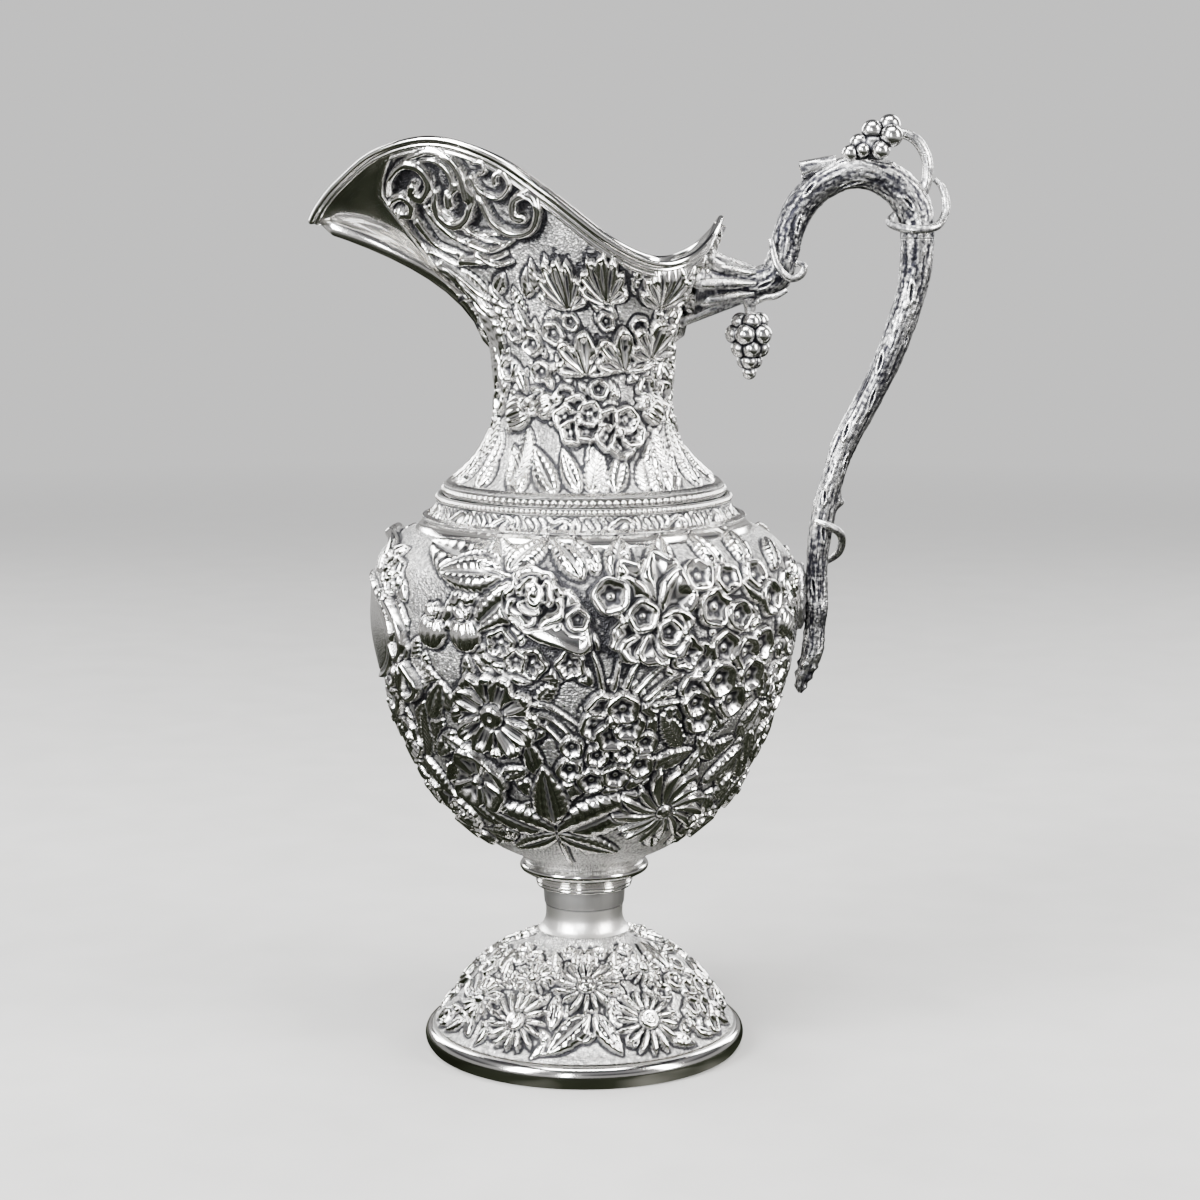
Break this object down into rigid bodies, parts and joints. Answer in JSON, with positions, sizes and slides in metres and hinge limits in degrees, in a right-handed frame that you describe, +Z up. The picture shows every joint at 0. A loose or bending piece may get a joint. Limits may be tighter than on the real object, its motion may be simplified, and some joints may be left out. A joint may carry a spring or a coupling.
{
  "type": "water pitcher",
  "caption": "Footed silver water pitcher with a chased floral body, a high sweeping spout and a cast grapevine handle.",
  "frame": {"origin": "under the middle of the outline, spout tip to handle, on the plane that the foot stands on", "axes": "+Z up the pitcher's axis, +X from the spout towards the handle, +Y across"},
  "size_m": [0.2356, 0.161, 0.3501],
  "materials": {
    "polished_silver": "polished sterling silver, slightly worn",
    "chased_silver": "chased and stippled silver, bright on the high spots and oxidised dark in the ground",
    "cast_silver": "cast silver with bark texture, oxidised in the grain and rubbed bright on top"
  },
  "bodies": {
    "root": {"foot_rim": "polished_silver", "foot_dome": "chased_silver", "foot_stem": "chased_silver", "stem_fillet": "polished_silver", "knop_ring": "polished_silver", "body_shell": "chased_silver", "shoulder_band": "chased_silver", "lower_bead_wire": "polished_silver", "upper_bead_wire": "polished_silver", "neck_shell": "chased_silver", "mouth_rim": "polished_silver", "handle_calyx": "cast_silver", "handle_root": "cast_silver", "handle_arch": "cast_silver", "handle_shaft": "cast_silver", "handle_tail": "cast_silver", "handle_lower_pad": "cast_silver", "twig_stub": "cast_silver", "top_grapes": "cast_silver", "grape_tendril": "cast_silver", "ring_tendril": "cast_silver", "curl_tendril": "cast_silver", "vine_tendril": "cast_silver", "grape_stalk": "cast_silver", "hanging_grapes": "cast_silver", "lower_tendril": "cast_silver"}
  },
  "joints": []
}
